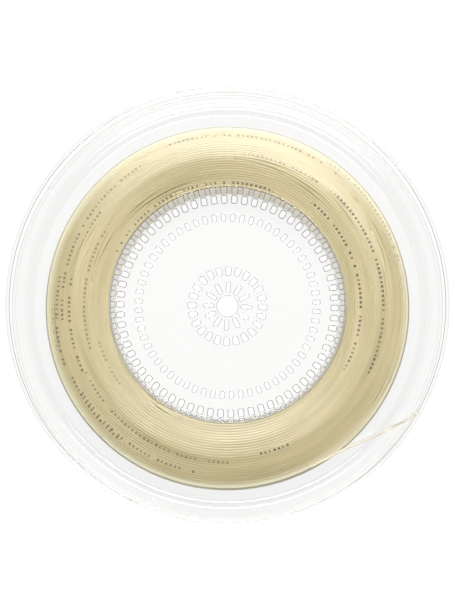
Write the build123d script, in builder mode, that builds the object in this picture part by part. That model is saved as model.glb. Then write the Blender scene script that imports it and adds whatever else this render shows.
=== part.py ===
"""A clear plastic reel of racket string, lying flat on its rear flange.

The clear plastic is modelled as three parts: a drum core (a tapered sleeve closed at the rear by
a slotted web), and two flanges that seat on the ends of the core. How the real plastic divides is
not known, and the core and the rear flange are probably one moulding. The string is one length:
the winding that fills the reel, and its free end, which leaves the winding just under the front
flange, goes out through a hole near the rim and lies on the flange's outer face.

Frame: the origin is the middle of the reel's resting face, +Z runs up along the reel's axis
towards the open front of the drum, and all sizes are in millimetres.
"""

import os
from math import pi, radians, tan

from build123d import *

os.makedirs("parts", exist_ok=True)

# ---- reel -------------------------------------------------------------------------------
FLANGE_R = 110.0
SHEET = 1.3  # thickness of the flanges and of the web
INSIDE_WIDTH = 25.0  # between the two flange plates
JOGGLE = 1.5  # how far the outer band of a flange stands outward of its plate
JOGGLE_IN_R, JOGGLE_OUT_R = 98.1, 101.1
BEAD_WIDTH, BEAD_HEIGHT = 1.8, 2.4  # thickened rim of each flange
SOFT_BEND = 2.0  # fillet where the sheet bends at the joggle
RIM_ROUND = 0.8
BEAD_FOOT = 0.25  # fillet between the bead and the band

REAR_PLATE_Z = JOGGLE  # outer face of the rear plate, and of the web
DRUM_REAR_Z = REAR_PLATE_Z + SHEET
DRUM_FRONT_Z = DRUM_REAR_Z + INSIDE_WIDTH
REEL_WIDTH = DRUM_FRONT_Z + SHEET + JOGGLE

# ---- drum core --------------------------------------------------------------------------
DRUM_REAR_R, DRUM_FRONT_R = 58.2, 59.0  # outside radii: moulding draft opens it forwards
WALL = 1.05
SPIGOT_STEP = 0.4  # the shoulders on which the flanges seat
SEAT_GAP = 0.05
BORE_R = 5.3  # spindle hole
BORE_CHAMFER = 0.2

# slot rings in the web: count, mean radius, radial length, width, corner radius, angle of one
SLOT_RINGS = (
    (66, 55.15, 4.1, 2.7, 0.8, 4.5),
    (60, 45.4, 4.1, 2.5, 0.8, 2.6),
    (12, 9.6, 5.5, 2.0, 0.7, 27.5),
)
SHIELD_COUNT, SHIELD_R, SHIELD_LENGTH, SHIELD_ANGLE = 24, 18.0, 4.5, 13.5
SHIELD_OUTER_WIDTH, SHIELD_INNER_WIDTH, SHIELD_CORNER = 3.1, 2.3, 0.8

# ---- holes for the string's end, near the rim of the front flange ------------------------
RIM_HOLE_R, RIM_HOLE_CIRCLE_R = 1.65, 103.75
RIM_HOLE_ANGLES = (68.9, 147.4, 249.6, 325.2)

# ---- string -----------------------------------------------------------------------------
STRING_D = 1.3
WINDING_GAP = 0.1  # between the winding and the flange plates
WINDING_SLACK = 0.5  # how much the innermost turns stand off the drum
INNER_SAG_Y, OUTER_SAG_Y = -0.45, -1.6  # the loose winding has slipped to one side
WINDING_R = 91.3
FACE_CROWN, OUTER_CROWN = 2.8, 1.6  # how far the winding's faces fall away at their edges

# route of the free end: off the winding's front shoulder, along under the flange plate,
# out through the fourth rim hole and flat along the outer face of the flange's band
UNDER_Z = DRUM_FRONT_Z - STRING_D / 2 - 0.2
PROUD_Z = REEL_WIDTH + STRING_D / 2 + 0.05
TAIL_ROUTE = (
    (41.2, -80.4, UNDER_Z),
    (47.0, -77.6, UNDER_Z),
    (53.1, -74.3, UNDER_Z),
    (59.3, -71.3, UNDER_Z),
    (64.9, -68.9, UNDER_Z),
    (70.6, -66.6, UNDER_Z),
    (76.6, -63.7, UNDER_Z),
    (83.2, -60.3, UNDER_Z + 0.1),
    (86.1, -58.7, PROUD_Z + 0.35),
    (90.4, -56.1, PROUD_Z + 0.1),
    (94.3, -53.1, PROUD_Z),
)


def flange_outline(bore_r):
    """Half section of a flange lying on its outer face: (radius, height, corner fillet)."""
    return (
        (bore_r, JOGGLE, 0),
        (JOGGLE_IN_R, JOGGLE, SOFT_BEND),
        (JOGGLE_OUT_R, 0, SOFT_BEND),
        (FLANGE_R, 0, RIM_ROUND),
        (FLANGE_R, BEAD_HEIGHT, RIM_ROUND),
        (FLANGE_R - BEAD_WIDTH, BEAD_HEIGHT, RIM_ROUND),
        (FLANGE_R - BEAD_WIDTH, SHEET, BEAD_FOOT),
        (JOGGLE_OUT_R, SHEET, SOFT_BEND),
        (JOGGLE_IN_R, JOGGLE + SHEET, SOFT_BEND),
        (bore_r, JOGGLE + SHEET, 0),
    )


def ring_at(radius, z):
    """A test for the round edges of this radius at this height."""
    return lambda e: (
        e.geom_type == GeomType.CIRCLE
        and abs(e.radius - radius) < 0.01
        and abs(e.arc_center.Z - z) < 0.01
    )


def corner_radii(route):
    """Fillet radius at each inner point of a route: 0.45 of the shorter run over tan(half turn)."""
    radii = []
    for before, here, after in zip(route, route[1:], route[2:]):
        run_in = Vector(*here) - Vector(*before)
        run_out = Vector(*after) - Vector(*here)
        half_turn = radians(run_in.get_angle(run_out)) / 2
        radii.append(0.45 * min(run_in.length, run_out.length) / tan(half_turn))
    return radii


def drum_outer_r(z):
    """Outside radius of the tapered drum at height z."""
    along = (z - DRUM_REAR_Z) / INSIDE_WIDTH
    return DRUM_REAR_R + (DRUM_FRONT_R - DRUM_REAR_R) * along


# ---- drum core: sleeve, web, spindle hole ------------------------------------------------
SPIGOT_TOP_Z = DRUM_FRONT_Z + SHEET
REAR_SPIGOT_R = DRUM_REAR_R - SPIGOT_STEP
FRONT_SPIGOT_R = DRUM_FRONT_R - SPIGOT_STEP

with BuildPart() as drum_core:
    with BuildSketch(Plane.XZ):
        with BuildLine():
            Polyline(
                (0, REAR_PLATE_Z),
                (REAR_SPIGOT_R, REAR_PLATE_Z),
                (REAR_SPIGOT_R, DRUM_REAR_Z),
                (DRUM_REAR_R, DRUM_REAR_Z),
                (DRUM_FRONT_R, DRUM_FRONT_Z),
                (FRONT_SPIGOT_R, DRUM_FRONT_Z),
                (FRONT_SPIGOT_R, SPIGOT_TOP_Z),
                (drum_outer_r(SPIGOT_TOP_Z) - WALL, SPIGOT_TOP_Z),
                (DRUM_REAR_R - WALL, DRUM_REAR_Z),
                (0, DRUM_REAR_Z),
                close=True,
            )
        make_face()
    revolve(axis=Axis.Z)

    # one slot of the shield-shaped ring, wider at its outer end
    with BuildSketch(mode=Mode.PRIVATE) as shield:
        with BuildLine():
            FilletPolyline(
                (-SHIELD_LENGTH / 2, -SHIELD_INNER_WIDTH / 2),
                (SHIELD_LENGTH / 2, -SHIELD_OUTER_WIDTH / 2),
                (SHIELD_LENGTH / 2, SHIELD_OUTER_WIDTH / 2),
                (-SHIELD_LENGTH / 2, SHIELD_INNER_WIDTH / 2),
                radius=SHIELD_CORNER,
                close=True,
            )
        make_face()

    with BuildSketch(Plane.XY.offset(REAR_PLATE_Z)):
        for count, ring_r, length, width, corner, angle in SLOT_RINGS:
            with PolarLocations(ring_r, count, start_angle=angle):
                RectangleRounded(length, width, corner)
        with PolarLocations(SHIELD_R, SHIELD_COUNT, start_angle=SHIELD_ANGLE):
            add(shield.sketch)
        Circle(BORE_R)
    extrude(amount=SHEET, mode=Mode.SUBTRACT)

    # small lead-in on the spindle hole, at the side the spindle enters from
    bore_edges = drum_core.edges().filter_by(
        lambda e: e.geom_type == GeomType.CIRCLE and abs(e.radius - BORE_R) < 0.01
    )
    chamfer(bore_edges.sort_by(Axis.Z)[-1], BORE_CHAMFER)

# ---- rear flange: plate, joggled outer band, rim bead ------------------------------------
with BuildPart() as rear_flange:
    outline = flange_outline(REAR_SPIGOT_R + SEAT_GAP)
    with BuildSketch(Plane.XZ):
        with BuildLine():
            Polyline([p[:2] for p in outline], close=True)
        make_face()
    revolve(axis=Axis.Z)
    for bend_r, bend_z, bend in outline:
        if bend > 0:
            fillet(edges().filter_by(ring_at(bend_r, bend_z)), bend)

# ---- front flange: the same section turned over, with four holes for the string's end ----
with BuildPart() as front_flange:
    outline = flange_outline(FRONT_SPIGOT_R + SEAT_GAP)
    with BuildSketch(Plane.XZ):
        with BuildLine():
            Polyline([p[:2] for p in outline], close=True)
        make_face()
    revolve(axis=Axis.Z)
    for bend_r, bend_z, bend in outline:
        if bend > 0:
            fillet(edges().filter_by(ring_at(bend_r, bend_z)), bend)
    mirror(about=Plane.XY.offset(REEL_WIDTH / 2), mode=Mode.REPLACE)
    for hole_angle in RIM_HOLE_ANGLES:
        with PolarLocations(RIM_HOLE_CIRCLE_R, 1, start_angle=hole_angle):
            Cylinder(RIM_HOLE_R, 2 * REEL_WIDTH + 2, mode=Mode.SUBTRACT)

# ---- string winding: a crowned ring, slipped a little to one side ------------------------
WINDING_REAR_Z = DRUM_REAR_Z + WINDING_GAP
WINDING_FRONT_Z = DRUM_FRONT_Z - WINDING_GAP
WINDING_MID_Z = (WINDING_REAR_Z + WINDING_FRONT_Z) / 2
SHOULDER_R = WINDING_R - OUTER_CROWN
CORE_R = drum_outer_r(WINDING_REAR_Z) - WALL  # inside the hole that is cut below
CROWN_R = (CORE_R + SHOULDER_R) / 2

with BuildPart() as string_winding:
    with BuildSketch(Plane.XZ.offset(-OUTER_SAG_Y)):
        with BuildLine():
            Polyline(
                (CORE_R, WINDING_REAR_Z + FACE_CROWN),
                (0, WINDING_REAR_Z + FACE_CROWN),
                (0, WINDING_FRONT_Z - FACE_CROWN),
                (CORE_R, WINDING_FRONT_Z - FACE_CROWN),
            )
            ThreePointArc(
                (CORE_R, WINDING_FRONT_Z - FACE_CROWN),
                (CROWN_R, WINDING_FRONT_Z),
                (SHOULDER_R, WINDING_FRONT_Z - FACE_CROWN),
            )
            ThreePointArc(
                (SHOULDER_R, WINDING_FRONT_Z - FACE_CROWN),
                (WINDING_R, WINDING_MID_Z),
                (SHOULDER_R, WINDING_REAR_Z + FACE_CROWN),
            )
            ThreePointArc(
                (SHOULDER_R, WINDING_REAR_Z + FACE_CROWN),
                (CROWN_R, WINDING_REAR_Z),
                (CORE_R, WINDING_REAR_Z + FACE_CROWN),
            )
        make_face()
    revolve(axis=Axis((0, OUTER_SAG_Y, 0), (0, 0, 1)))

    # the hole follows the drum's taper, a little loose on it
    with BuildSketch(Plane.XZ.offset(-INNER_SAG_Y)):
        with BuildLine():
            Polyline(
                (0, DRUM_REAR_Z),
                (DRUM_REAR_R + WINDING_SLACK, DRUM_REAR_Z),
                (DRUM_FRONT_R + WINDING_SLACK, DRUM_FRONT_Z),
                (0, DRUM_FRONT_Z),
                close=True,
            )
        make_face()
    revolve(axis=Axis((0, INNER_SAG_Y, 0), (0, 0, 1)), mode=Mode.SUBTRACT)

# ---- string tail: the free end, threaded out through a rim hole --------------------------
tail_radii = corner_radii(TAIL_ROUTE)
with BuildPart() as string_tail:
    with BuildLine() as tail_path:
        FilletPolyline(TAIL_ROUTE, radius=tail_radii)
    with BuildSketch(Plane(origin=tail_path.line @ 0, z_dir=tail_path.line % 0)):
        Circle(STRING_D / 2)
    sweep()

# ---- what is written out -----------------------------------------------------------------
for name, piece in (
    ("drum_core", drum_core),
    ("rear_flange", rear_flange),
    ("front_flange", front_flange),
    ("string_winding", string_winding),
    ("string_tail", string_tail),
):
    piece.part.label = name
    export_step(piece.part, f"parts/{name}.step")

tail_length = tail_path.wire().length
tube_volume = pi * STRING_D**2 / 4 * tail_length
print("tail radii", [round(r, 1) for r in tail_radii])
print(f"tail length {tail_length:.1f}, volume over section x length "
      f"{string_tail.part.volume / tube_volume:.4f}")
print(f"winding volume {string_winding.part.volume:.0f}, reel width {REEL_WIDTH:.1f}")
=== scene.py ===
"""The looks of a clear plastic reel of racket string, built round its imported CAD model.

The clear mouldings are rebuilt with finer rounding than the CAD model has, and the CAD model's
solid winding is replaced by the string itself, laid turn by turn. Everything is in metres, in
the CAD model's frame: the reel lies on z = 0 with its axis along +Z.
"""

import math

import bmesh
import bpy
import numpy as np
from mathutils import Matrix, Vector


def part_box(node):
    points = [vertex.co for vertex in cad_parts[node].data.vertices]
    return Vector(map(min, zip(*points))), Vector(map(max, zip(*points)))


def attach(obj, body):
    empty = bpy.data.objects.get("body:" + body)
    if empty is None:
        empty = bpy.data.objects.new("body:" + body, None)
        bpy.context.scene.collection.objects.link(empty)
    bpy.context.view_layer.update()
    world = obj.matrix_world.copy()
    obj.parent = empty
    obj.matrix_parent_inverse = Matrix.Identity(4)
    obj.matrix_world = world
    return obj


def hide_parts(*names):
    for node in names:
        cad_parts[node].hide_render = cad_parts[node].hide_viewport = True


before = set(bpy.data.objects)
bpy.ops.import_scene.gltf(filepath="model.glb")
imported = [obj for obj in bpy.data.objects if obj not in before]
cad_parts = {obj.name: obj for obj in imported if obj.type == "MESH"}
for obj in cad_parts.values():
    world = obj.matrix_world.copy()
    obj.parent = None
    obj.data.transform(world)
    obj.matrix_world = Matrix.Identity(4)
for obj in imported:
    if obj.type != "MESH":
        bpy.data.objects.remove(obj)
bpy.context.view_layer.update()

MM = 0.001
BODY = "root"
RANDOM_SEED = 11

# ---- sizes ------------------------------------------------------------------------------
REEL_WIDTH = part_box("front_flange")[1].z
FLANGE_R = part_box("front_flange")[1].x
SHEET = 1.3 * MM  # thickness of the flanges and the web
JOGGLE = 1.5 * MM  # how far a flange's outer band stands outward of its plate
JOGGLE_IN_R, JOGGLE_OUT_R = 98.1 * MM, 101.1 * MM
BEAD_WIDTH, BEAD_HEIGHT = 1.8 * MM, 2.4 * MM
RIM_ROUND = 0.8 * MM
SOFT_BEND = 2.0 * MM
SMALL_EDGE = 0.25 * MM
DRUM_REAR_Z = JOGGLE + SHEET
DRUM_FRONT_Z = REEL_WIDTH - JOGGLE - SHEET
MIDDLE_Z = REEL_WIDTH / 2

DRUM_FRONT_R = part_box("drum_core")[1].x
DRUM_REAR_R = DRUM_FRONT_R - 0.8 * MM
WALL = 1.05 * MM
SPIGOT_STEP = 0.4 * MM  # a spigot is this much smaller than the drum, and seats a flange
SEAT_GAP = 0.05 * MM
BORE_R = 5.3 * MM

# the web's slot rings: count, mean radius, radial length, outer width, inner width, corner, angle
SLOT_RINGS = (
    (66, 54.8, 3.7, 2.5, 2.5, 0.7, 4.5),
    (60, 45.4, 3.6, 1.9, 1.9, 0.6, 2.6),
    (24, 18.0, 4.2, 2.9, 2.1, 0.7, 13.5),
    (12, 9.6, 5.2, 1.8, 1.8, 0.6, 27.5),
)
SLOT_ROUND = 0.5 * MM
RIM_HOLE_R, RIM_HOLE_CIRCLE_R = 1.65 * MM, 103.75 * MM
RIM_HOLE_ANGLES = (68.9, 147.4, 249.6, 325.2)

STRING_R = 0.65 * MM
WINDING_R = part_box("string_winding")[1].x
WINDING_SLACK = 0.3 * MM
INNER_SAG_Y, OUTER_SAG_Y = -0.45 * MM, -1.6 * MM  # the loose winding has slipped to one side
FACE_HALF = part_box("string_winding")[1].z - MIDDLE_Z  # half the winding's width at its widest
FACE_CROWN, OUTER_CROWN = 2.8 * MM, 1.2 * MM

# the free end's route, in millimetres, its points listed one by one: over the winding's front
# shoulder, under the front flange and out through a rim hole
UNDER_Z = DRUM_FRONT_Z / MM - 0.85
PROUD_Z = REEL_WIDTH / MM + 0.7
TAIL_ROUTE = (
    (41.2, -80.4, UNDER_Z),
    (47.0, -77.6, UNDER_Z),
    (53.1, -74.3, UNDER_Z),
    (59.3, -71.3, UNDER_Z),
    (64.9, -68.9, UNDER_Z),
    (70.6, -66.6, UNDER_Z),
    (76.6, -63.7, UNDER_Z),
    (83.2, -60.3, UNDER_Z + 0.1),
    (86.1, -58.7, PROUD_Z + 0.35),
    (90.4, -56.1, PROUD_Z + 0.1),
    (94.3, -53.1, PROUD_Z),
)

# ---- camera -----------------------------------------------------------------------------
CAMERA_DISTANCE = 0.902  # from the middle of the reel's front face
CAMERA_TILT = math.radians(2.8)  # off the reel's axis, towards -Y
LENS = 108.1  # millimetres, on a sensor 36 mm along the picture's long side


def make_camera():
    """A long lens looking almost straight down on the front of the reel."""
    data = bpy.data.cameras.new("camera")
    data.sensor_width = 36.0
    data.lens = LENS
    camera = bpy.data.objects.new("camera", data)
    bpy.context.scene.collection.objects.link(camera)
    back = Vector((0, -math.sin(CAMERA_TILT), math.cos(CAMERA_TILT)))
    camera.location = Vector((0, 0, REEL_WIDTH)) + back * CAMERA_DISTANCE
    camera.rotation_mode = "QUATERNION"
    camera.rotation_quaternion = (-back).to_track_quat("-Z", "Y")
    bpy.context.scene.camera = camera


# ---- node helpers -----------------------------------------------------------------------
def new_material(name):
    """An empty node material: the material, its node tree and its output node."""
    material = bpy.data.materials.new(name)
    material.use_nodes = True
    tree = material.node_tree
    tree.nodes.clear()
    return material, tree, tree.nodes.new("ShaderNodeOutputMaterial")


def node(tree, kind, inputs=None, **properties):
    """A new node with these properties, and with these inputs set or, if sockets, linked."""
    made = tree.nodes.new(kind)
    for key, value in properties.items():
        setattr(made, key, value)
    for key, value in (inputs or {}).items():
        socket = made.inputs[key]
        if isinstance(value, bpy.types.NodeSocket):
            tree.links.new(value, socket)
        else:
            socket.default_value = value
    return made


def maths(tree, operation, *values):
    """What a Math node makes of these numbers or sockets."""
    return node(tree, "ShaderNodeMath", dict(enumerate(values)), operation=operation).outputs[0]


def ramp(tree, fac, *stops):
    """A colour ramp on fac, through (position, colour) stops; a plain number is a grey."""
    made = node(tree, "ShaderNodeValToRGB", {"Fac": fac})
    elements = made.color_ramp.elements
    while len(elements) < len(stops):
        elements.new(0.5)
    for element, (position, colour) in zip(elements, stops):
        grey = isinstance(colour, (int, float))
        element.position = position
        element.color = (colour, colour, colour, 1) if grey else (*colour, 1)
    return made.outputs["Color"]


# ---- materials --------------------------------------------------------------------------
def clear_plastic(name, *slope_shade_stops):
    """Clear moulded polystyrene: refractive, with faint flow marks and handling scuffs.

    Its colour follows its slope, from 0 for upright to 1 for level, through these (slope, grey)
    stops: painted shade, darker on the steep faces and edges, because a slender sheet looks
    darker through its edges than through its faces."""
    material, tree, output = new_material(name)
    place = node(tree, "ShaderNodeTexCoord").outputs["Object"]
    flow = node(tree, "ShaderNodeTexNoise", {"Vector": place, "Scale": 45.0, "Detail": 2.0})
    scuffs = node(tree, "ShaderNodeTexNoise", {"Vector": place, "Scale": 900.0, "Detail": 4.0})
    bump = node(tree, "ShaderNodeBump", {
        "Height": flow.outputs["Fac"], "Strength": 0.015, "Distance": 0.0002,
    })
    normal = node(tree, "ShaderNodeSeparateXYZ", {
        "Vector": node(tree, "ShaderNodeNewGeometry").outputs["Normal"],
    })
    shader = node(tree, "ShaderNodeBsdfPrincipled", {
        # painted shade: the colour darkens as the faces turn upright
        "Base Color": ramp(tree, maths(tree, "ABSOLUTE", normal.outputs[2]), *slope_shade_stops),
        "Roughness": ramp(tree, scuffs.outputs["Fac"], (0.45, 0.01), (0.75, 0.05)),
        "IOR": 1.53,
        "Transmission Weight": 1.0,
        "Normal": bump.outputs["Normal"],
    })
    tree.links.new(shader.outputs["BSDF"], output.inputs["Surface"])
    return material


# how much of its shading and of its gloss a turn takes from the winding's surface as a whole
BODY_SPREAD, GLOSS_SPREAD = 0.65, 0.85
STREAKS_PER_METRE = 190.0  # how fast the nylon's colour varies with radius, in rings
INK_PITCH = 2.3 * MM  # from one printed dash to the next
INK_WIDTH = 0.25  # of the way round the string


def ink_mask(tree):
    """How strong the ink is: runs of uneven plain dashes along one side of the string."""
    parts = node(tree, "ShaderNodeSeparateXYZ", {
        "Vector": node(tree, "ShaderNodeUVMap", uv_map="string").outputs["UV"],
    })
    step = maths(tree, "DIVIDE", parts.outputs[0], INK_PITCH)
    chance = node(tree, "ShaderNodeTexWhiteNoise", {"W": maths(tree, "FLOOR", step)},
                  noise_dimensions="1D").outputs["Value"]
    length = maths(tree, "MULTIPLY_ADD", chance, 0.4, 0.2)
    dash = maths(tree, "LESS_THAN", maths(tree, "FRACT", step), length)
    space = maths(tree, "GREATER_THAN", chance, 0.14)
    printed = node(tree, "ShaderNodeAttribute", attribute_name="printed").outputs["Fac"]
    facing = node(tree, "ShaderNodeAttribute", attribute_name="facing").outputs["Fac"]
    turned = maths(tree, "SUBTRACT", parts.outputs[1], facing)
    off = maths(tree, "PINGPONG", turned, 0.5)
    strip = maths(tree, "LESS_THAN", off, INK_WIDTH / 2)
    mask = maths(tree, "MULTIPLY", maths(tree, "MULTIPLY", dash, space), strip)
    return maths(tree, "MULTIPLY", mask, printed)


def wound_string_material():
    """Translucent natural nylon in a thick winding, with runs of plain ink dashes down one side,
    and its outermost turns painted paler, as painted light shining through them.
    """
    material, tree, output = new_material("string_wound")
    place = node(tree, "ShaderNodeVectorMath", {
        0: node(tree, "ShaderNodeTexCoord").outputs["Object"], 1: (1, 1, 0),
    }, operation="MULTIPLY").outputs[0]
    radius = node(tree, "ShaderNodeVectorMath", {0: place}, operation="LENGTH").outputs["Value"]
    around = node(tree, "ShaderNodeVectorMath", {0: place}, operation="NORMALIZE").outputs[0]
    outward = maths(tree, "MULTIPLY", radius, STREAKS_PER_METRE)
    rings = node(tree, "ShaderNodeVectorMath", {
        0: around, 1: node(tree, "ShaderNodeCombineXYZ", {2: outward}).outputs[0],
    }, operation="ADD")
    cloud = node(tree, "ShaderNodeTexNoise", {"Vector": rings.outputs[0], "Scale": 1.0, "Detail": 3.0})
    nylon = ramp(tree, cloud.outputs["Fac"], (0.3, (0.38, 0.33, 0.155)), (0.5, (0.48, 0.41, 0.215)),
                 (0.7, (0.57, 0.49, 0.285)))
    # painted light: turns with little string behind them are mixed towards a pale colour
    thin = node(tree, "ShaderNodeAttribute", attribute_name="thin").outputs["Fac"]
    paler = node(tree, "ShaderNodeMix", {0: thin, 6: nylon, 7: (0.88, 0.87, 0.70, 1)},
                 data_type="RGBA").outputs[2]
    marked = node(tree, "ShaderNodeMix", {0: ink_mask(tree), 6: paler, 7: (0.07, 0.045, 0.02, 1)},
                  data_type="RGBA")
    surface = node(tree, "ShaderNodeAttribute", attribute_name="surface").outputs["Vector"]
    own = node(tree, "ShaderNodeNewGeometry").outputs["Normal"]
    body, gloss = (
        node(tree, "ShaderNodeVectorMath", {
            0: node(tree, "ShaderNodeMix", {0: spread, 4: own, 5: surface},
                    data_type="VECTOR").outputs[1],
        }, operation="NORMALIZE").outputs[0]
        for spread in (BODY_SPREAD, GLOSS_SPREAD)
    )
    shader = node(tree, "ShaderNodeBsdfPrincipled", {
        "Base Color": marked.outputs[2],
        "Roughness": 0.6,
        "Specular IOR Level": 0.1,
        "Normal": body,
        "Coat Weight": 1.0,
        "Coat Roughness": 0.34,
        "Coat IOR": 1.53,
        "Coat Normal": gloss,
    })
    tree.links.new(shader.outputs["BSDF"], output.inputs["Surface"])
    return material


def single_string_material():
    """The same nylon in a single thickness, which lets most of the light through; its pale colour is
    partly the single string's own and partly painted light shining through it.
    """
    material, tree, output = new_material("string_single")
    place = node(tree, "ShaderNodeTexCoord").outputs["Object"]
    haze = node(tree, "ShaderNodeTexNoise", {"Vector": place, "Scale": 700.0, "Detail": 2.0})
    # partly painted light: a pale colour for light shining through the single string
    nylon = ramp(tree, haze.outputs["Fac"], (0.3, (0.93, 0.88, 0.72)), (0.7, (0.97, 0.93, 0.8)))
    shader = node(tree, "ShaderNodeBsdfPrincipled", {
        "Base Color": nylon,
        "Roughness": 0.3,
        "IOR": 1.53,
        "Transmission Weight": 0.7,
    })
    tree.links.new(shader.outputs["BSDF"], output.inputs["Surface"])
    return material


def floor_material():
    """A plain white table that glows a little, as a light table does."""
    material, tree, output = new_material("floor")
    shader = node(tree, "ShaderNodeBsdfPrincipled", {
        "Base Color": (0.1, 0.1, 0.1, 1),
        "Roughness": 0.9,
        "Specular IOR Level": 0.0,
        "Emission Color": (1, 1, 1, 1),
        "Emission Strength": 0.93,
    })
    tree.links.new(shader.outputs["BSDF"], output.inputs["Surface"])
    return material


# ---- mesh helpers -----------------------------------------------------------------------
def piece_from(mesh, name, material, stands_for):
    """A smooth piece that rides on the reel and stands for a CAD node."""
    mesh.name = name
    mesh.materials.clear()
    mesh.materials.append(material)
    mesh.polygons.foreach_set("use_smooth", [True] * len(mesh.polygons))
    piece = bpy.data.objects.new(name, mesh)
    bpy.context.scene.collection.objects.link(piece)
    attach(piece, BODY)
    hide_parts(stands_for)
    return piece


def clear_piece(mesh, name, material, stands_for):
    """A clear moulding. It throws no shadow, because clear plastic passes the soft light on."""
    piece = piece_from(mesh, name, material, stands_for)
    piece.data.set_sharp_from_angle(angle=math.radians(40))
    piece.visible_shadow = False
    piece.visible_diffuse = False
    normals = piece.modifiers.new("normals", "WEIGHTED_NORMAL")
    normals.keep_sharp = True
    return piece


def repaint(piece, material, belongs):
    """Gives this material to the faces whose centre, as radius and height, belongs to it."""
    piece.data.materials.append(material)
    for face in piece.data.polygons:
        if belongs(math.hypot(face.center.x, face.center.y), face.center.z):
            face.material_index = len(piece.data.materials) - 1


def tidy_normals(mesh):
    """Welds a mesh's doubled points and turns its faces outward."""
    work = bmesh.new()
    work.from_mesh(mesh)
    bmesh.ops.remove_doubles(work, verts=work.verts, dist=1e-6)
    bmesh.ops.recalc_face_normals(work, faces=work.faces)
    work.to_mesh(mesh)
    work.free()
    return mesh


def combine(mesh, other, operation):
    """The mesh united with the other one, cut by it, or what the two share."""
    subject = bpy.data.objects.new("subject", mesh)
    tool = bpy.data.objects.new("tool", other)
    for o in (subject, tool):
        bpy.context.scene.collection.objects.link(o)
    cut = subject.modifiers.new("cut", "BOOLEAN")
    cut.operation = operation
    cut.object = tool
    cut.solver = "EXACT"
    graph = bpy.context.evaluated_depsgraph_get()
    result = bpy.data.meshes.new_from_object(subject.evaluated_get(graph))
    for o in (subject, tool):
        bpy.data.objects.remove(o)
    return result


def rounded(corners, arc_steps=6):
    """The closed outline through (x, y, radius) corners, each rounded to its radius."""
    points = []
    for i, (x, y, radius) in enumerate(corners):
        here = Vector((x, y))
        if radius == 0:
            points.append(here)
            continue
        back = (Vector(corners[i - 1][:2]) - here).normalized()
        ahead = (Vector(corners[(i + 1) % len(corners)][:2]) - here).normalized()
        half = back.angle(ahead) / 2
        centre = here + (back + ahead).normalized() * (radius / math.sin(half))
        arm = here + back * (radius / math.tan(half)) - centre
        turn = math.copysign(math.pi - 2 * half, back.y * ahead.x - back.x * ahead.y)
        for k in range(arc_steps + 1):
            c, s = math.cos(turn * k / arc_steps), math.sin(turn * k / arc_steps)
            points.append(centre + Vector((arm.x * c - arm.y * s, arm.x * s + arm.y * c)))
    return points


LATHE_STEPS = 288


def lathe(outline):
    """A closed (radius, height) outline turned about the reel's axis."""
    count = len(outline)
    vertices = []
    faces = []
    for i in range(LATHE_STEPS):
        angle = 2 * math.pi * i / LATHE_STEPS
        vertices += [(p[0] * math.cos(angle), p[0] * math.sin(angle), p[1]) for p in outline]
        here, there = i * count, (i + 1) % LATHE_STEPS * count
        for k in range(count):
            after = (k + 1) % count
            faces.append((here + k, there + k, there + after, here + after))
    mesh = bpy.data.meshes.new("lathe")
    mesh.from_pydata(vertices, [], faces)
    return tidy_normals(mesh)


def plate(outlines, thickness, edge_round):
    """A flat plate with rounded edges, halved by z = 0; outlines after the first are holes."""
    curve = bpy.data.curves.new("plate", "CURVE")
    curve.dimensions = "2D"
    curve.fill_mode = "BOTH"
    curve.extrude = thickness / 2 - edge_round
    curve.bevel_depth = edge_round
    curve.bevel_resolution = 3
    curve.offset = -edge_round
    for outline in outlines:
        spline = curve.splines.new("POLY")
        spline.points.add(len(outline) - 1)
        for point, place in zip(spline.points, outline):
            point.co = (place[0], place[1], 0, 1)
        spline.use_cyclic_u = True
    holder = bpy.data.objects.new("plate", curve)
    bpy.context.scene.collection.objects.link(holder)
    graph = bpy.context.evaluated_depsgraph_get()
    mesh = bpy.data.meshes.new_from_object(holder.evaluated_get(graph))
    bpy.data.objects.remove(holder)
    return tidy_normals(mesh)


def circle(radius, steps):
    """A round outline about the axis."""
    turns = [2 * math.pi * i / steps for i in range(steps)]
    return [Vector((radius * math.cos(a), radius * math.sin(a))) for a in turns]


# ---- clear mouldings --------------------------------------------------------------------
def flange_section(bore_r):
    """The rear flange's half section."""
    return rounded((
        (bore_r, JOGGLE, SMALL_EDGE),
        (JOGGLE_IN_R, JOGGLE, SOFT_BEND),
        (JOGGLE_OUT_R, 0, SOFT_BEND),
        (FLANGE_R, 0, RIM_ROUND),
        (FLANGE_R, BEAD_HEIGHT, RIM_ROUND),
        (FLANGE_R - BEAD_WIDTH, BEAD_HEIGHT, 0.4 * MM),
        (FLANGE_R - BEAD_WIDTH, SHEET, SMALL_EDGE),
        (JOGGLE_OUT_R, SHEET, SOFT_BEND),
        (JOGGLE_IN_R, JOGGLE + SHEET, SOFT_BEND),
        (bore_r, JOGGLE + SHEET, SMALL_EDGE),
    ))


def make_rear_flange(material, wall_material):
    """The rear flange: plate, joggled outer band and rim bead."""
    mesh = lathe(flange_section(DRUM_REAR_R - SPIGOT_STEP + SEAT_GAP))
    piece = clear_piece(mesh, "rear_flange_shell", material, "rear_flange")
    bead_in = FLANGE_R - BEAD_WIDTH - 0.5 * MM
    # painted shade: the bore and the bead take the wall material, painted darker and warm where
    # upright
    repaint(piece, wall_material,
            lambda r, z: r < DRUM_FRONT_R + SHEET or bead_in < r < FLANGE_R - RIM_ROUND)


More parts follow.
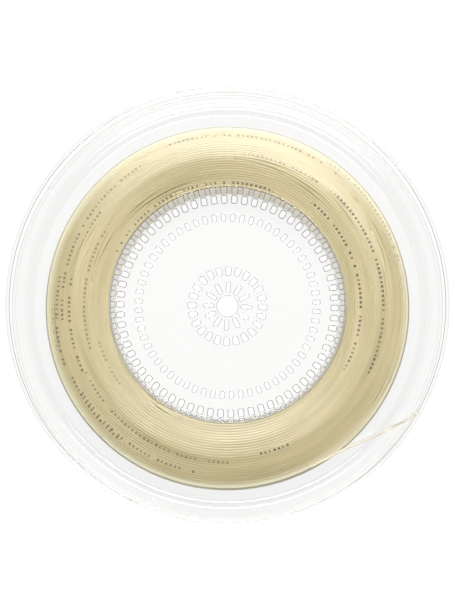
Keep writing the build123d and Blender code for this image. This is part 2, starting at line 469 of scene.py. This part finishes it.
def make_front_flange(material, wall_material):
    """The same section turned over, with four small holes for the string's end."""
    section = flange_section(DRUM_FRONT_R - SPIGOT_STEP + SEAT_GAP)
    mesh = lathe([Vector((r, REEL_WIDTH - z)) for r, z in section])
    pins = bmesh.new()
    for angle in RIM_HOLE_ANGLES:
        a = math.radians(angle)
        made = bmesh.ops.create_cone(pins, cap_ends=True, segments=32, radius1=RIM_HOLE_R,
                                     radius2=RIM_HOLE_R, depth=4 * SHEET)
        place = Vector((math.cos(a), math.sin(a), 0)) * RIM_HOLE_CIRCLE_R
        place.z = REEL_WIDTH - SHEET / 2
        bmesh.ops.translate(pins, verts=made["verts"], vec=place)
    cutter = bpy.data.meshes.new("cutter")
    pins.to_mesh(cutter)
    pins.free()
    mesh = combine(mesh, cutter, "DIFFERENCE")
    piece = clear_piece(mesh, "front_flange_shell", material, "front_flange")
    # painted shade: the bore and the rim take the wall material, painted darker and warm where upright
    repaint(piece, wall_material,
            lambda r, z: r < DRUM_FRONT_R + SHEET or r > FLANGE_R - RIM_ROUND)
    edge = piece.modifiers.new("hole edges", "BEVEL")
    edge.width = 0.3 * MM
    edge.segments = 3
    edge.limit_method = "ANGLE"
    edge.angle_limit = math.radians(60)
    piece.modifiers.move(1, 0)


def slot_outlines():
    """The outlines of the web's slots, all round."""
    outlines = []
    for count, ring_r, length, outer, inner, corner, first in SLOT_RINGS:
        near, far = (ring_r - length / 2) * MM, (ring_r + length / 2) * MM
        corners = (
            (near, -inner / 2 * MM, corner * MM),
            (near, inner / 2 * MM, corner * MM),
            (far, outer / 2 * MM, corner * MM),
            (far, -outer / 2 * MM, corner * MM),
        )
        shape = rounded(corners, 4)
        for i in range(count):
            a = math.radians(first) + 2 * math.pi * i / count
            c, s = math.cos(a), math.sin(a)
            outlines.append([Vector((p.x * c - p.y * s, p.x * s + p.y * c)) for p in shape])
    return outlines


def make_drum_core(material, rim_material, wall_material):
    """The tapered sleeve with the slotted web across its rear end, in one moulding."""
    rear_spigot, front_spigot = DRUM_REAR_R - SPIGOT_STEP, DRUM_FRONT_R - SPIGOT_STEP
    top = DRUM_FRONT_Z + SHEET
    taper = (DRUM_FRONT_R - DRUM_REAR_R) / (DRUM_FRONT_Z - DRUM_REAR_Z)
    rear_inside = DRUM_REAR_R - WALL
    front_inside = rear_inside + taper * (top - DRUM_REAR_Z)
    sleeve = lathe(rounded((
        (rear_inside, JOGGLE, 0),
        (rear_spigot, JOGGLE, SMALL_EDGE),
        (rear_spigot, DRUM_REAR_Z, 0),
        (DRUM_REAR_R, DRUM_REAR_Z, 0),
        (DRUM_FRONT_R, DRUM_FRONT_Z, 0),
        (front_spigot, DRUM_FRONT_Z, 0),
        (front_spigot, top, SMALL_EDGE),
        (front_inside, top, SMALL_EDGE),
        (rear_inside, DRUM_REAR_Z, 0),
    )))
    rim = circle(DRUM_FRONT_R + SHEET, LATHE_STEPS)
    bore = circle(BORE_R, 64)[::-1]
    web = plate([rim, *slot_outlines(), bore], SHEET, SLOT_ROUND)
    for vertex in web.vertices:
        vertex.co.z += JOGGLE + SHEET / 2
    inside_wall = (rear_inside + rear_spigot) / 2
    disc = lathe([Vector(p) for p in ((0, -SHEET), (inside_wall, -SHEET),
                                      (inside_wall, 5 * SHEET), (0, 5 * SHEET))])
    web = combine(web, disc, "INTERSECT")
    web_edge = rear_inside - 0.1 * MM
    piece = clear_piece(combine(sleeve, web, "UNION"), "drum_core_shell", material, "drum_core")
    # painted shade: the outer slot ring and the sleeve take materials painted darker where upright
    repaint(piece, rim_material, lambda r, z: r > SLOT_RINGS[0][1] * MM - 3 * MM)
    repaint(piece, wall_material, lambda r, z: r > web_edge)


# ---- string -----------------------------------------------------------------------------
LAYERS = 25
OUTER_PAINTED_BACKLIGHT = 0.45  # painted light shining through the outermost turns, with little string behind them: how much paler they are
RIDGE_ROUND = 0.25  # how softly the two slopes of a face meet, as a part of half its depth
TURN_PITCH = 1.30 * MM
STEPS_PER_TURN = 96
CLIMB = 0.08  # of a turn, over which the string steps sideways or climbs to the next layer
SLIP_TURN = 0.2  # of a turn, over which the string leaves the winding's front shoulder
TUBE_SIDES = 8
WOUND_R = 0.69 * MM  # a wound turn, a little wider than the free string where it is pressed flat
PRESSED = 0.2  # how much further its section reaches at the corners than a round one does

# printed runs: one in every so many metres of string, and those that show on the front of the
# winding, as layer, first and last angle in degrees, and how strong the ink is
PRINT_EVERY, PRINT_LENGTH = 0.52, 0.09
FRONT_PRINT = (
    (23, 15, 55, 0.4),
    (22, 181, 195, 0.3),
    (21, 47, 113, 0.75),
    (20, 168, 233, 0.8),
    (19, 210, 262, 0.7),
    (18, 118, 187, 0.8),
    (15, 142, 206, 0.85),
    (14, 203, 275, 0.7),
    (14, 335, 410, 1.0),
    (13, 43, 84, 0.7),
    (12, 282, 296, 1.0),
    (9, 147, 198, 0.7),
    (5, 328, 411, 1.0),
    (5, 195, 222, 0.5),
    (1, 66, 157, 0.9),
)


def smooth_step(x):
    """0 up to x = 0, 1 from x = 1, and a smooth rise between."""
    x = np.clip(x, 0, 1)
    return x * x * (3 - 2 * x)


def goes_forward(layer):
    """Whether a layer is wound from the rear to the front, as the last one is."""
    return (LAYERS - layer) % 2 == 1


def face_drop(layer):
    """How far a layer's end turns lie under the face's ridge, and the face's slope there."""
    at = 2 * layer / (LAYERS - 1) - 1
    bend = math.hypot(at, RIDGE_ROUND)
    drop = FACE_CROWN * (bend - RIDGE_ROUND) / (math.hypot(1, RIDGE_ROUND) - RIDGE_ROUND)
    return drop, FACE_CROWN * at / bend / ((WINDING_R - DRUM_FRONT_R) / 2)


def layer_reach(layer):
    """How far from mid width a layer's end turns lie."""
    return FACE_HALF - STRING_R - face_drop(layer)[0]


def layer_line(layer, turns, at):
    """Radius, height and sideways sag of one layer's line, at these numbers of turns along it."""
    out = layer / (LAYERS - 1)
    inner = (DRUM_FRONT_R + DRUM_REAR_R) / 2 + WINDING_SLACK + STRING_R
    middle_r = inner + (WINDING_R - STRING_R - inner) * out
    towards_front = 1 if goes_forward(layer) else -1
    steps = smooth_step((at - 1) / CLIMB + 1) + smooth_step((at - turns + 1) / CLIMB + 1)
    moved = steps + np.clip(at - 1, 0, turns - 2 - CLIMB)
    way = towards_front * (2 * moved / (turns - CLIMB) - 1)
    taper = (DRUM_FRONT_R - DRUM_REAR_R) / 2 * (1 - out)
    radius = middle_r - OUTER_CROWN * out**2 * way**2 + taper * way
    sag = INNER_SAG_Y + (OUTER_SAG_Y - INNER_SAG_Y) * out
    return np.stack([radius, MIDDLE_Z + layer_reach(layer) * way, np.full_like(way, sag)])


def wound_lines():
    """The string's centreline as one array of points for each layer, from the drum outwards."""
    rng = np.random.default_rng(RANDOM_SEED)
    steps = []
    for layer in range(LAYERS):
        turns = 2 * layer_reach(layer) / TURN_PITCH + rng.uniform(-0.3, 0.1)
        steps.append(round(turns * STEPS_PER_TURN))
    slip_steps = round(SLIP_TURN * STEPS_PER_TURN)
    end = Vector(TAIL_ROUTE[0]) * MM - Vector((0, OUTER_SAG_Y, 0))
    end_r, end_angle = math.hypot(end.x, end.y), math.atan2(end.y, end.x)
    done = -(sum(steps) + slip_steps)
    waves = [(rng.uniform(0.004, 0.012) * MM, rng.uniform(0.3, 2.7), rng.uniform(0, 2 * math.pi))
             for _ in range(10)]
    lines = []
    for layer, count in enumerate(steps):
        at = np.arange(count + 1) / STEPS_PER_TURN
        line = layer_line(layer, at[-1], at)
        if layer + 1 < LAYERS:
            after = layer_line(layer + 1, steps[layer + 1] / STEPS_PER_TURN, np.zeros(1))
            line += (after - line) * smooth_step((at - at[-1] + CLIMB) / CLIMB)
        lines.append((done, line))
        done += count
    at = np.arange(slip_steps + 1) / slip_steps
    slip = lines[-1][1][:, -1:] + np.zeros((3, len(at)))
    slip[0] += (end_r - slip[0]) * smooth_step(at)
    slip[1] += (UNDER_Z * MM - slip[1]) * smooth_step(at)
    lines.append((done, slip))
    points = []
    for layer, (first, (radius, height, sag)) in enumerate(lines):
        angle = end_angle + (first + np.arange(len(radius))) * 2 * math.pi / STEPS_PER_TURN
        still = smooth_step((end_angle - angle) / 2)  # the unevenness dies away at the end
        radius = radius + still * sum(a * np.sin(w * angle + p) for a, w, p in waves[:5])
        height = height + still * sum(a * np.sin(w * angle + p) for a, w, p in waves[5:])
        place = (radius * np.cos(angle), sag + radius * np.sin(angle), height)
        points.append((np.stack(place, axis=1), np.degrees(angle)))
    return points


def surface_direction(layer, points):
    """The direction in which the winding's own surface faces, at each point of a layer's string."""
    layer = min(layer, LAYERS - 1)
    offset = points[:, 2] - MIDDLE_Z
    face = smooth_step((np.abs(offset) - layer_reach(layer)) / (2 * MM) + 1)
    outward = points * (1, 1, 0)
    outward /= np.linalg.norm(outward, axis=1)[:, None]
    side = 1 if layer > LAYERS / 2 else -1
    outward *= (face * face_drop(layer)[1] + (1 - face) * side)[:, None]
    outward[:, 2] = face * np.sign(offset)
    return outward / np.linalg.norm(outward, axis=1)[:, None]


def print_on(layer, degrees, along):
    """Where the string is printed, and which way round it the print faces, at each of its points.

    On the front of the winding, the runs that show are placed one by one, as listed."""
    facing = 0.5 + 0.6 * np.sin(along * 1.9) + 0.4 * np.sin(along * 0.83)
    printed = 1.0 * (along % PRINT_EVERY < PRINT_LENGTH)
    turns = np.arange(len(along)) / STEPS_PER_TURN
    from_front = turns[-1] - turns if goes_forward(layer) else turns
    if layer == LAYERS:
        from_front = 0 * turns
    printed[from_front < 2.5] = 0
    for row_layer, start, end, strength in FRONT_PRINT:
        if row_layer == layer:
            here = (from_front < 1) & ((degrees - start) % 360 < end - start)
            printed[here] = strength
            facing[here] = 0.75
    return printed, facing


def tube(points, along, name, material):
    """A closed tube about a line of points, its UV in metres along and turns around."""
    tangent = np.gradient(points, axis=0)
    tangent /= np.linalg.norm(tangent, axis=1)[:, None]
    outward = points * (1, 1, 0)
    outward -= (outward * tangent).sum(1)[:, None] * tangent
    outward /= np.linalg.norm(outward, axis=1)[:, None]
    across = np.cross(tangent, outward)
    turn = np.arange(TUBE_SIDES)[:, None] * 2 * math.pi / TUBE_SIDES
    ring = outward[:, None] * np.cos(turn) + across[:, None] * np.sin(turn)
    reach = WOUND_R * (1 + PRESSED * np.sin(2 * turn) ** 2)
    vertices = (points[:, None] + reach * ring).reshape(-1, 3)
    here = np.arange(len(points) - 1)[:, None] * TUBE_SIDES
    side = np.arange(TUBE_SIDES)[None, :]
    after = (side + 1) % TUBE_SIDES
    faces = np.stack([here + side, here + after, here + TUBE_SIDES + after,
                      here + TUBE_SIDES + side], axis=2).reshape(-1, 4)
    last = (len(points) - 1) * TUBE_SIDES
    caps = [list(range(TUBE_SIDES))[::-1], list(range(last, last + TUBE_SIDES))]
    mesh = bpy.data.meshes.new(name)
    mesh.from_pydata(vertices.tolist(), [], faces.tolist() + caps)
    u = np.stack([along[:-1], along[:-1], along[1:], along[1:]], axis=1)
    u = np.repeat(u[:, None], TUBE_SIDES, axis=1)
    v = np.stack([side[0], side[0] + 1, side[0] + 1, side[0]], axis=1) / TUBE_SIDES
    uv = np.stack([u, np.broadcast_to(v, u.shape)], axis=-1).reshape(-1)
    every = np.zeros(len(mesh.loops) * 2)
    every[: len(uv)] = uv
    mesh.uv_layers.new(name="string").data.foreach_set("uv", every)
    return piece_from(mesh, name, material, "string_winding")


def make_winding(material):
    """All the wound string, a piece for each layer. Says how long it is and how many turns."""
    along = 0.0
    turns = 0.0
    for i, (points, degrees) in enumerate(wound_lines()):
        steps = np.linalg.norm(np.diff(points, axis=0), axis=1)
        distance = along + np.concatenate([[0], np.cumsum(steps)])
        name = f"string_layer_{i + 1:02d}" if i < LAYERS else "string_last_turn"
        piece = tube(points, distance, name, material)
        printed, facing = print_on(i, degrees, distance)
        # painted light: the outermost layers, and the last turn most, are painted paler
        thin = np.full(len(points), OUTER_PAINTED_BACKLIGHT * max(0, i + 4 - LAYERS) / 3)
        for title, values in (("printed", printed), ("facing", facing), ("thin", thin)):
            attribute = piece.data.attributes.new(title, "FLOAT", "POINT")
            attribute.data.foreach_set("value", np.repeat(values.astype(np.float32), TUBE_SIDES))
        attribute = piece.data.attributes.new("surface", "FLOAT_VECTOR", "POINT")
        directions = np.repeat(surface_direction(i, points), TUBE_SIDES, axis=0)
        attribute.data.foreach_set("vector", directions.astype(np.float32).ravel())
        along = distance[-1]
        turns += (len(points) - 1) / STEPS_PER_TURN
    print(f"wound string: {along:.1f} m in {turns:.0f} turns")


def make_tail(material):
    """The string's free end, from the winding to the rim, on one smooth curve."""
    curve = bpy.data.curves.new("string_end", "CURVE")
    curve.dimensions = "3D"
    curve.bevel_depth = STRING_R
    curve.bevel_resolution = 4
    curve.use_fill_caps = True
    curve.materials.append(material)
    spline = curve.splines.new("NURBS")
    spline.points.add(len(TAIL_ROUTE) - 1)
    for point, place in zip(spline.points, TAIL_ROUTE):
        point.co = (*(Vector(place) * MM), 1)
    spline.order_u = 3
    spline.use_endpoint_u = True
    spline.resolution_u = 12
    piece = bpy.data.objects.new("string_end", curve)
    bpy.context.scene.collection.objects.link(piece)
    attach(piece, BODY)
    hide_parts("string_tail")


# ---- floor, light and world -------------------------------------------------------------
def make_floor():
    """A round white floor, just under the reel."""
    mesh = bpy.data.meshes.new("floor")
    mesh.from_pydata([(*p, -0.0003) for p in circle(4.0, 96)], [], [list(range(96))])
    mesh.materials.append(floor_material())
    floor = bpy.data.objects.new("floor", mesh)
    bpy.context.scene.collection.objects.link(floor)


def soft_box(name, place, width, depth, power, mirrored=True):
    """A rectangular soft light aimed at the middle of the reel, seen in reflections or not."""
    data = bpy.data.lights.new(name, "AREA")
    data.shape = "RECTANGLE"
    data.size, data.size_y = width, depth
    data.energy = power
    data.color = (1.0, 0.98, 0.92)
    light = bpy.data.objects.new(name, data)
    light.location = place
    light.visible_glossy = mirrored
    light.rotation_mode = "QUATERNION"
    light.rotation_quaternion = (-Vector(place)).to_track_quat("-Z", "Y")
    bpy.context.scene.collection.objects.link(light)


def make_world():
    """Soft light from above and a dimmer band near the horizon, which draws the clear edges."""
    world = bpy.data.worlds.new("world")
    world.use_nodes = True
    tree = world.node_tree
    tree.nodes.clear()
    direction = node(tree, "ShaderNodeTexCoord").outputs["Generated"]
    height = node(tree, "ShaderNodeSeparateXYZ", {"Vector": direction}).outputs[2]
    sky = ramp(tree, height, (0.0, 0.5), (0.12, 0.15), (0.6, 0.15), (0.95, 0.5))
    background = node(tree, "ShaderNodeBackground", {"Color": sky, "Strength": 1.0})
    output = tree.nodes.new("ShaderNodeOutputWorld")
    tree.links.new(background.outputs[0], output.inputs["Surface"])
    bpy.context.scene.world = world


def make_light():
    """A soft key light above the reel's far side, and a weak one low on the near side."""
    soft_box("key", (0.05, 0.62, 1.38), 0.9, 0.5, 21.5)
    soft_box("fill", (-0.1, -1.3, 0.45), 1.0, 0.5, 5.0, mirrored=False)
    bpy.context.scene.view_settings.view_transform = "Standard"


make_camera()
make_tail(single_string_material())
make_winding(wound_string_material())
# painted shade: each clear material is darker on its upright faces, the wall one in a warm shade
SHEET_PLASTIC = clear_plastic("clear_plastic_sheet", (0.7, 0.35), (0.85, 0.96), (0.99, 0.99))
WEB_PLASTIC = clear_plastic("clear_plastic_web", (0.88, 0.3), (0.97, 0.72), (1.0, 0.965))
RIM_PLASTIC = clear_plastic("clear_plastic_web_rim", (0.9, 0.1), (0.98, 0.5), (1.0, 0.965))
WALL_PLASTIC = clear_plastic("clear_plastic_wall", (0.0, (0.9, 0.83, 0.67)), (1.0, 0.975))
make_rear_flange(SHEET_PLASTIC, WALL_PLASTIC)
make_front_flange(SHEET_PLASTIC, WALL_PLASTIC)
make_drum_core(WEB_PLASTIC, RIM_PLASTIC, WALL_PLASTIC)
make_floor()
make_world()
make_light()
